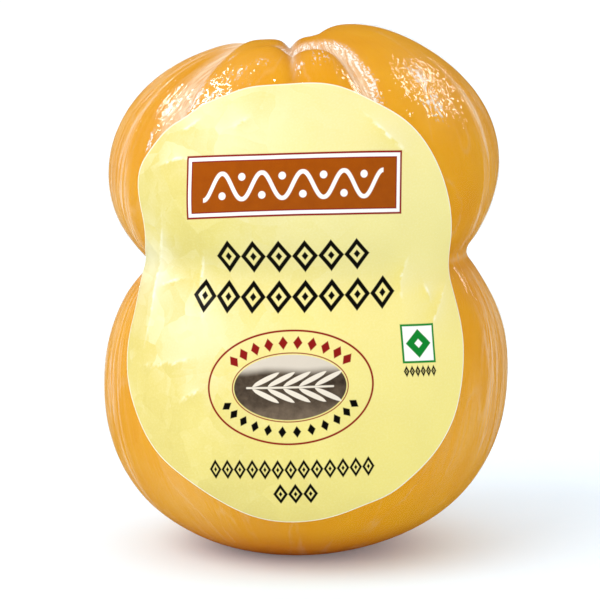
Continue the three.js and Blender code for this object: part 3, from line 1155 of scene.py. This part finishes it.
def lozenge_row(graph, across, up, row):
    """A row of lozenge outlines with a dot in each, as wide as its count asks."""
    across = across - row.across
    up = up - row.up
    cell = repeated(graph, across + row.pitch * (row.count % 2) / 2 - row.pitch / 2, row.pitch)
    half_width = row.pitch / 2 - row.stroke * LOZENGE_GAP
    outline = abs(lozenge_distance(cell, up, half_width, row.height / 2)) - row.stroke / 2
    dot = lozenge_distance(cell, up, row.pitch * DOT_WIDTH, row.height * DOT_HEIGHT)
    inside = box_distance(graph, across, up, row.pitch * row.count / 2, row.height)
    return graph.most(graph.least(outline, dot), inside)


def vine_distance(graph, across, up, vine):
    """A waving stem with a round berry in each bend."""
    turn = across * (2 * math.pi / vine.pitch)
    wave = graph.maths("SINE", turn)
    slope = graph.maths("COSINE", turn) * (vine.sway * 2 * math.pi / vine.pitch)
    stem = abs(up - wave * vine.sway) / (1 + slope * slope) ** 0.5 - vine.stroke / 2
    stem = graph.most(stem, abs(across) - vine.half_length)
    bend = repeated(graph, across - vine.pitch / 4, vine.pitch / 2)
    side = up + graph.maths("SIGN", wave) * (vine.sway * BERRY_OFF)
    berry = (bend * bend + side * side) ** 0.5 - vine.stroke * BERRY_SIZE
    return graph.least(stem, graph.most(berry, abs(across) - (vine.half_length - vine.pitch / 4)))


def bead_arc(graph, across, up, beads):
    """Lozenges set along part of an ellipse, between two angles in degrees from the right."""
    half_width, half_height = BEAD_RING
    angle = graph.maths("ARCTAN2", up / half_height, across / half_width)
    own = angle - repeated(graph, angle, 2 * math.pi / BEADS_ROUND)
    cosine = graph.maths("COSINE", own)
    sine = graph.maths("SINE", own)
    right = across - cosine * half_width
    above = up - sine * half_height
    length = ((sine * half_width) ** 2 + (cosine * half_height) ** 2) ** 0.5
    along = (above * cosine * half_height - right * sine * half_width) / length
    out = (right * cosine * half_height + above * sine * half_width) / length
    middle = math.radians((beads.low + beads.high) / 2)
    window = abs(own - middle) - math.radians((beads.high - beads.low) / 2)
    return graph.most(lozenge_distance(along, out, beads.wide, beads.tall), window)


def sprig_distance(graph, across, up):
    """A straight stem with pairs of pointed leaves."""
    stem = pill_distance(graph, across, up, SPRIG_HALF_LENGTH, SPRIG_STEM)
    slid = across - abs(up) * LEAF_SLIDE
    cell = repeated(graph, slid, LEAF_PITCH)
    high = abs(up) - LEAF_UP
    along = cell * math.cos(LEAF_SLANT) + high * math.sin(LEAF_SLANT)
    over = high * math.cos(LEAF_SLANT) - cell * math.sin(LEAF_SLANT)
    leaf = oval_distance(graph, along, over, LEAF_LONG, LEAF_WIDE)
    leaf = graph.most(leaf, abs(slid - cell) - (SPRIG_HALF_LENGTH - LEAF_LONG))
    return graph.least(stem, leaf)


# Print and paper of the label

def paint(graph, base, distance, ink):
    """Prints a shape over a colour, from the distance outside the shape in millimetres."""
    return graph.mixed(graph.limited(0.5 - distance / INK_EDGE), base, ink)


def printed_panel(graph, settings, colour, spot):
    """A brown panel in a white and dark red frame, with a white vine along it."""
    across, up, _ = graph.parts(spot)
    right = across - PANEL_ACROSS
    above = up - PANEL_UP + (across / PANEL_REACH) ** 2 * PANEL_SAG - across * PANEL_TILT
    worn = graph.noise(spot, WEAR_PER_MM, detail=3) * WEAR_CONTRAST - WEAR_ABOVE
    worn = graph.limited(worn)
    brown = graph.mixed(worn, full(settings.panel_shade), full(settings.panel_colour))
    red = full(settings.line_colour)
    white = full(settings.white)
    for margin, ink in zip(PANEL_MARGINS, (red, white, red, brown)):
        half_width = PANEL_HALF_WIDTH + margin
        half_height = PANEL_HALF_HEIGHT + margin
        box = box_distance(graph, right, above, half_width, half_height)
        colour = paint(graph, colour, box, ink)
    return paint(graph, colour, vine_distance(graph, across, above, VINE), white)


def printed_badge(graph, settings, colour, spot, clouds):
    """An oval line, two arcs of beads, and a smoky sepia middle with a sprig across it."""
    across, up, _ = graph.parts(spot)
    right = across - BADGE_ACROSS
    above = up - BADGE_UP
    red = full(settings.line_colour)
    pale = full(settings.sepia_pale)
    outline = abs(oval_distance(graph, right, above, *BADGE)) - BADGE_STROKE / 2
    colour = paint(graph, colour, outline, red)
    colour = paint(graph, colour, bead_arc(graph, right, above, UPPER_BEADS), red)
    colour = paint(graph, colour, bead_arc(graph, right, above, LOWER_BEADS), full(settings.black))
    middle = oval_distance(graph, right, above, *BADGE_MIDDLE)
    colour = paint(graph, colour, abs(middle - MIDDLE_GAP) - MIDDLE_STROKE / 2, red)
    smoke = graph.noise(spot, SMOKE_PER_MM, detail=3, roughness=0.6) * SMOKE_CONTRAST - SMOKE_ABOVE
    paling = graph.step(abs(above), *PALING_FADE) * PALING_SHARE
    smoke = graph.limited(graph.limited(smoke) * SMOKE_SHARE + paling)
    sepia = graph.mixed(smoke, full(settings.sepia_dark), full(settings.sepia_mid))
    light = graph.step(above + swing(clouds, LIGHT_WAVER), *LIGHT_FADE) * LIGHT_SHARE
    colour = paint(graph, colour, middle, graph.mixed(light, sepia, pale))
    return paint(graph, colour, sprig_distance(graph, right, above), pale)


def printed_mark(graph, settings, colour, spot):
    """A green-framed square, a little askew, with a lozenge in it and tiny ones under it."""
    across, up, _ = graph.parts(spot)
    right = across - MARK_ACROSS + (up - MARK_UP) * MARK_LEAN
    above = up - MARK_UP + (across - MARK_ACROSS) * MARK_DROOP
    green = full(settings.mark_colour)
    white = full(settings.white)
    colour = paint(graph, colour, box_distance(graph, right, above, *MARK_SQUARE), green)
    colour = paint(graph, colour, box_distance(graph, right, above, *MARK_FIELD), white)
    colour = paint(graph, colour, lozenge_distance(right, above, *MARK_LOZENGE), green)
    colour = paint(graph, colour, lozenge_distance(right, above, *MARK_MIDDLE), white)
    return paint(graph, colour, lozenge_row(graph, right, above, MARK_ROW), full(settings.black))


def label_material(settings):
    """Printed paper. The print is made of plain shapes placed in flat label millimetres."""
    material = bpy.data.materials.new("label_print")
    graph = Graph(material)
    u, v, _ = graph.parts(graph.node("UVMap", {"uv_map": "flat"}))
    across = (u - 0.5) * PRINT_SPAN
    up = (v - 0.5) * PRINT_SPAN
    spot = graph.joined(across, up, 0.0)
    edge = full(settings.edge_colour)

    clouds = graph.noise(spot, CLOUDS_PER_MM)
    fibre = graph.noise(spot, FIBRES_PER_MM, detail=3, roughness=0.6)
    crumpled = graph.strayed(spot, FACETS_PER_MM, PAPER_WANDER)
    facets, slope = graph.crumple(crumpled, FACETS_PER_MM)
    _, fine_slope = graph.crumple(crumpled, FINE_FACETS_PER_MM)
    crumpling = graph.limited(CRUMPLED - across * CRUMPLED_PER_MM)
    # painted light and shade: paler and dimmer facets and crease sides, and paler paper higher up
    pale = (slope * FACET_PAINTED_LIGHT + fine_slope * FINE_FACET_PAINTED_LIGHT) * crumpling
    pale = graph.attribute("slant") * SLANT_PAINTED_LIGHT + pale
    pale = pale + PAPER_PAINTED_SHEEN + up * PAINTED_SHEEN_PER_MM_UP + graph.attribute("sheen")
    # painted shade: the paper is darker toward the left, where the light is stronger
    tone = graph.limited(ranged(clouds, *CLOUDS_TONE) + across * PAINTED_LEFT_SHADE_PER_MM)
    colour = graph.mixed(tone, full(settings.paper_shade), full(settings.paper_colour))
    colour = graph.mixed(graph.limited(-pale), colour, full(settings.shadow_colour))
    colour = graph.mixed(graph.limited(pale), colour, full(settings.sheen_colour))
    # painted highlights along the crease crests, broken into dashes by noise
    crest_highlight_breaks = graph.step(graph.noise(spot, WEAR_PER_MM, detail=3), *CREST_HIGHLIGHT_FADE)
    colour = graph.mixed(graph.attribute("crest") * crest_highlight_breaks, colour, edge)
    colour = graph.mixed(graph.limited((fibre - FIBRE_PALE_ABOVE) * FIBRE_PALE), colour, edge)

    colour = printed_panel(graph, settings, colour, spot)
    for row in LOZENGE_ROWS:
        colour = paint(graph, colour, lozenge_row(graph, across, up, row), full(settings.black))
    colour = printed_badge(graph, settings, colour, spot, clouds)
    colour = printed_mark(graph, settings, colour, spot)
    colour = graph.mixed(graph.step(graph.attribute("rim"), RIM_STARTS, RIM_FULL), colour, edge)

    plain = graph.node("NewGeometry", output="Normal")
    normal = facet_normal(graph, plain, facets, crumpling * FACET_LEAN)
    graph.solid({
        "Base Color": colour,
        "Roughness": graph.limited(settings.roughness + swing(fibre, FIBRE_ROUGHNESS)),
        "Normal": graph.bump(fibre * FIBRE_RELIEF + clouds * PAPER_RELIEF, normal),
        "Specular IOR Level": PAPER_SPECULAR,
    })
    return material


def paper_material(settings):
    """The bare back and cut edge of the label."""
    material = bpy.data.materials.new("label_paper")
    graph = Graph(material)
    spot = graph.node("TexCoord", output="Object")
    fibre = graph.noise(spot, per_mm(BACK_FIBRE_SIZE), detail=3)
    colour = graph.mixed(fibre, full(settings.paper_colour), full(settings.edge_colour))
    graph.solid({
        "Base Color": colour,
        "Roughness": BACK_ROUGHNESS,
        "Normal": graph.bump(fibre * BACK_RELIEF),
    })
    return material


def floor_material(settings):
    material = bpy.data.materials.new("studio_floor")
    graph = Graph(material)
    spot = graph.node("TexCoord", output="Object")
    grain = graph.noise(spot, per_mm(FLOOR_GRAIN_SIZE), detail=2)
    colour = graph.mixed(grain * FLOOR_GRAIN_SHARE, full(settings.floor_colour), WHITE)
    graph.solid({
        "Base Color": colour,
        "Roughness": FLOOR_ROUGHNESS,
        "Specular IOR Level": FLOOR_SPECULAR,
        "Emission Color": full(settings.floor_colour),
        "Emission Strength": settings.floor_glow,
    })
    return material


# Settings that a user would change

def colour_setting(name, code, description):
    return bpy.props.FloatVectorProperty(
        name=name,
        description=description,
        default=srgb(code),
        min=0.0,
        max=1.0,
        subtype="COLOR",
    )


def length_setting(name, millimetres, description):
    return bpy.props.FloatProperty(
        name=name,
        description=description,
        default=millimetres * MM,
        min=0.0,
        subtype="DISTANCE",
        unit="LENGTH",
        precision=5,
    )


def share_setting(name, value, description, most=1.0):
    return bpy.props.FloatProperty(
        name=name, description=description, default=value, min=0.0, max=most
    )


class CheeseSettings(bpy.types.PropertyGroup):
    """Colours of the smoked skin."""

    skin_colour: colour_setting("Skin", 0xE8A71C, "Usual colour of the smoked skin")
    deep_colour: colour_setting("Deep skin", 0xDE940C, "Colour where the smoke took most")
    pale_colour: colour_setting("Grain", 0xE8B03E, "Colour of the pale grain in the skin")
    # painted shade: the colour that the folds are painted in
    fold_shade_colour: colour_setting("Folds", 0xB0660A, "Colour deep in the folds of the crown")
    # painted shade: the colour that the base is painted in
    base_shade_colour: colour_setting("Base", 0xB84800, "Colour round the base")
    roughness: share_setting("Roughness", 0.5, "Roughness of the skin")


class FilmSettings(bpy.types.PropertyGroup):
    """Gloss, haze and pleats of the clear film."""

    # also the colour of the painted sheen in the hazy patches, and of the painted highlight in the
    # grooves
    haze_colour: colour_setting("Haze", 0xFBE6CC, "Colour of hazy and gathered film")
    # painted highlights: the colour of the white patches that stand in for glints
    painted_glint_colour: colour_setting("Scuffs", 0xFFFFFF, "Colour of the scuffs")
    haze: share_setting("Haze everywhere", 0.008, "How much the flat film hides what is behind it")
    pleat_haze: share_setting("Pleat haze", 1.0, "How pale the pleats and gathers are", 3.0)
    fold_haze: share_setting("Fold haze", 1.0, "How pale the film is where it bridges a fold", 3.0)
    line_sharpness: share_setting("Line sharpness", 20.0, "How thin the fine gathers are", 60.0)
    gloss: share_setting("Gloss", 1.45, "Index of refraction of the film", 3.0)
    rim_gloss: share_setting("Rim gloss", 0.09, "The most that the film mirrors, seen edge on")
    roughness: share_setting("Roughness", 0.03, "Roughness of the film")
    pleat_size: share_setting("Pleat size", 1.0, "Height of the pleats, as a share of the usual", 3.0)


class LabelSettings(bpy.types.PropertyGroup):
    """Sizes and inks of the label."""

    paper_colour: colour_setting("Paper", 0xF0E083, "Main colour of the paper")
    # paper shade: the deeper patches of paper, and the painted shade toward the left
    paper_shade: colour_setting("Paper shade", 0xDCCB76, "Colour of the deeper patches of paper")
    sheen_colour: colour_setting("Sheen", 0xF4ECC4, "Colour of the lit facets and sides of creases")
    shadow_colour: colour_setting("Dim side", 0xCFBC62, "Colour of the dim facets and sides of creases")
    # the edge colour is also the colour of the painted highlights on crease crests
    edge_colour: colour_setting("Edge", 0xFFFBE0, "Colour of the cut edge")
    panel_colour: colour_setting("Panel", 0xAA5200, "Colour of the brown panel")
    panel_shade: colour_setting("Panel shade", 0x9C4800, "Colour of its darker patches")
    line_colour: colour_setting("Lines", 0x8A1410, "Colour of the thin frames and red beads")
    mark_colour: colour_setting("Mark", 0x0B822C, "Colour of the green mark")
    white: colour_setting("White", 0xFAF6F0, "White ink")
    black: colour_setting("Black", 0x0D0B08, "Black ink")
    sepia_dark: colour_setting("Sepia", 0x2E231A, "Dark of the badge's middle")
    sepia_mid: colour_setting("Sepia light", 0x7C6A57, "Light of the badge's middle")
    sepia_pale: colour_setting("Sprig", 0xE4D8C6, "Colour of the sprig in the badge")
    roughness: share_setting("Roughness", 0.36, "Roughness of the printed face")
    thickness: length_setting("Thickness", 0.13, "Thickness of the paper")
    stand: length_setting("Stand", 0.34, "How far the printed face stands off the cheese's skin")
    crease_size: share_setting("Crease size", 1.0, "Height of the creases, as a share", 3.0)


class StageSettings(bpy.types.PropertyGroup):
    """Camera, light and floor."""

    elevation: bpy.props.FloatProperty(
        name="Elevation",
        description="How far above level the camera looks down from",
        default=math.radians(8),
        subtype="ANGLE",
        unit="ROTATION",
    )
    distance: length_setting("Distance", 452.5, "From the camera to the point it looks at")
    lens: bpy.props.FloatProperty(
        name="Lens",
        description="Focal length of the camera's lens",
        default=150.0,
        unit="CAMERA",
    )
    floor_colour: colour_setting("Floor", 0xE8F4FE, "Colour of the floor")
    floor_glow: share_setting("Floor glow", 0.13, "How much the floor is lit from below")
    sky: share_setting("Sky", 0.98, "Strength of the even light from above", 4.0)
    key: share_setting("Key", 1.2, "Strength of the soft light from the upper left", 10.0)
    softbox: share_setting("Softbox", 26.0, "Brightness of the boxes seen in the film", 100.0)


# Operators, one for each piece and one for the stage

class AddCheese(bpy.types.Operator):
    """Adds the cheese: a folded, pinched body of smoked curd."""

    bl_idname = "scamorza.add_cheese"
    bl_label = "Cheese"

    def execute(self, context):
        body, rays = round_body(CHEESE_COLUMNS, CHEESE_ROWS)
        radius, depth, _ = cheese_radius(rays)
        radius += lumps(rays * radius[:, None])
        place_vertices(body, placed(rays, radius, floor=CHEESE_INSET))
        material = cheese_material(context.scene.scamorza_cheese)
        make_piece("cheese", body, [material], "wrapped_cheese", "wrapped_cheese", fold=depth)
        return {"FINISHED"}


class AddFilm(bpy.types.Operator):
    """Adds the clear film that clings to the cheese and bridges its folds."""

    bl_idname = "scamorza.add_film"
    bl_label = "Film"

    def execute(self, context):
        settings = context.scene.scamorza_film
        body, rays = round_body(FILM_COLUMNS, FILM_ROWS)
        radius, veil, raised = film_radius(rays, settings.pleat_size)
        radius += lumps(rays * radius[:, None])
        place_vertices(body, placed(rays, radius))
        make_piece(
            "film",
            body,
            [film_material(settings)],
            "wrapped_cheese",
            "wrapped_cheese",
            gathered=fan_share(*angles_of(rays)),
            crackled=patch_share(rays, CRACKLES),
            scuffed=np.maximum(patch_share(rays, PAINTED_GLINT_PATCHES), groove_glints(rays * radius[:, None])),
            smeared=patch_share(rays, HAZE_SHEEN_PATCHES),
            bridged=veil,
            pleat=np.clip(raised / PALEST_PLEAT, 0, 1),
        )
        return {"FINISHED"}


class AddLabel(bpy.types.Operator):
    """Adds the creased paper label on the front."""

    bl_idname = "scamorza.add_label"
    bl_label = "Label"

    def execute(self, context):
        settings = context.scene.scamorza_label
        sheet, spoke, share = label_sheet()
        across, up = flat_label(spoke, share)
        flat = np.stack([across, up, np.zeros(len(up))], 1)
        crumple = value_noise(flat, CRUMPLE_SIZE, CRUMPLE_SEED)
        rise, crest, slant = crease_rise(across, up)
        stand = settings.stand / MM + edge_lift(across, up)
        stand += settings.crease_size * (rise + CRUMPLE_HEIGHT * crumple)
        place_vertices(sheet, laid_points(across, up, stand, front_meridian()))
        bmesh.ops.recalc_face_normals(sheet, faces=sheet.faces)
        if sum(face.normal.y for face in sheet.faces) > 0:
            bmesh.ops.reverse_faces(sheet, faces=sheet.faces)
        layer = sheet.loops.layers.uv.new("flat")
        for face in sheet.faces:
            for corner in face.loops:
                place = corner.vert.index
                corner[layer].uv = (0.5 + across[place] / PRINT_SPAN, 0.5 + up[place] / PRINT_SPAN)
        materials = [label_material(settings), paper_material(settings)]
        marks = {"rim": share, "crest": crest, "slant": slant, "sheen": sheen_share(across, up)}
        piece = make_piece("paper_label", sheet, materials, "label", "label", **marks)
        wall = piece.modifiers.new("thickness", "SOLIDIFY")
        wall.thickness = settings.thickness
        wall.offset = -1
        wall.material_offset = 1
        wall.material_offset_rim = 1
        return {"FINISHED"}


def add_camera(settings):
    data = bpy.data.cameras.new("camera")
    data.lens = settings.lens
    data.sensor_width = SENSOR
    data.clip_start = NEAREST_SEEN
    data.clip_end = 4 * FLOOR_RADIUS
    camera = new_object("camera", data)
    back = Vector((0, -math.cos(settings.elevation), math.sin(settings.elevation)))
    camera.location = AIM + back * settings.distance
    camera.rotation_euler = back.to_track_quat("Z", "Y").to_euler()
    bpy.context.scene.camera = camera


def add_key(settings):
    data = bpy.data.lights.new("key", "SUN")
    data.energy = settings.key
    data.angle = KEY_SPREAD
    light = new_object("key", data)
    light.rotation_euler = KEY_FROM.to_track_quat("Z", "Y").to_euler()
    light.visible_glossy = False


def add_softbox(box, radiance):
    """A light that shows in gloss alone, so that it brightens nothing else."""
    data = bpy.data.lights.new("softbox", "AREA")
    data.shape = "RECTANGLE"
    data.size = box.length
    data.size_y = box.width
    data.energy = radiance * box.share * math.pi * box.length * box.width
    light = new_object("softbox", data)
    toward = Vector(box.middle).normalized()
    along = Vector(box.along)
    along = (along - toward * along.dot(toward)).normalized()
    turn = Matrix((along, toward.cross(along), toward)).transposed()
    light.matrix_world = Matrix.Translation(AIM + toward * box.distance) @ turn.to_4x4()
    light.visible_diffuse = False


def add_world(settings):
    world = bpy.data.worlds.new("studio")
    world.cycles_visibility.glossy = False
    bpy.context.scene.world = world
    graph = Graph(world)
    sky = graph.node("Background", sockets={"Color": WHITE, "Strength": settings.sky})
    graph.node("OutputWorld", sockets={"Surface": sky})


def add_floor(settings):
    body = bmesh.new()
    bmesh.ops.create_circle(body, cap_ends=True, segments=FLOOR_SIDES, radius=FLOOR_RADIUS)
    mesh = bpy.data.meshes.new("floor")
    body.to_mesh(mesh)
    body.free()
    mesh.materials.append(floor_material(settings))
    floor = new_object("floor", mesh)
    floor.visible_glossy = False


class AddStage(bpy.types.Operator):
    """Adds the camera, the lights and the pale floor."""

    bl_idname = "scamorza.add_stage"
    bl_label = "Stage"

    def execute(self, context):
        settings = context.scene.scamorza_stage
        context.scene.view_settings.view_transform = "Standard"
        add_camera(settings)
        add_key(settings)
        for box in SOFTBOXES:
            add_softbox(box, settings.softbox)
        add_world(settings)
        add_floor(settings)
        return {"FINISHED"}


class ScamorzaPanel(bpy.types.Panel):
    """Lists the pieces and the stage."""

    bl_idname = "VIEW3D_PT_scamorza"
    bl_label = "Scamorza"
    bl_space_type = "VIEW_3D"
    bl_region_type = "UI"
    bl_category = "Scamorza"

    def draw(self, context):
        for operator in (AddCheese, AddFilm, AddLabel, AddStage):
            self.layout.operator(operator.bl_idname)


SETTINGS = {
    "scamorza_cheese": CheeseSettings,
    "scamorza_film": FilmSettings,
    "scamorza_label": LabelSettings,
    "scamorza_stage": StageSettings,
}
CLASSES = [*SETTINGS.values(), AddCheese, AddFilm, AddLabel, AddStage, ScamorzaPanel]


def register():
    for cls in CLASSES:
        bpy.utils.register_class(cls)
    for name, group in SETTINGS.items():
        setattr(bpy.types.Scene, name, bpy.props.PointerProperty(type=group))


def unregister():
    for name in SETTINGS:
        delattr(bpy.types.Scene, name)
    for cls in reversed(CLASSES):
        bpy.utils.unregister_class(cls)


def main():
    register()
    bpy.ops.scamorza.add_cheese()
    bpy.ops.scamorza.add_film()
    bpy.ops.scamorza.add_label()
    bpy.ops.scamorza.add_stage()


if __name__ == "__main__":
    main()
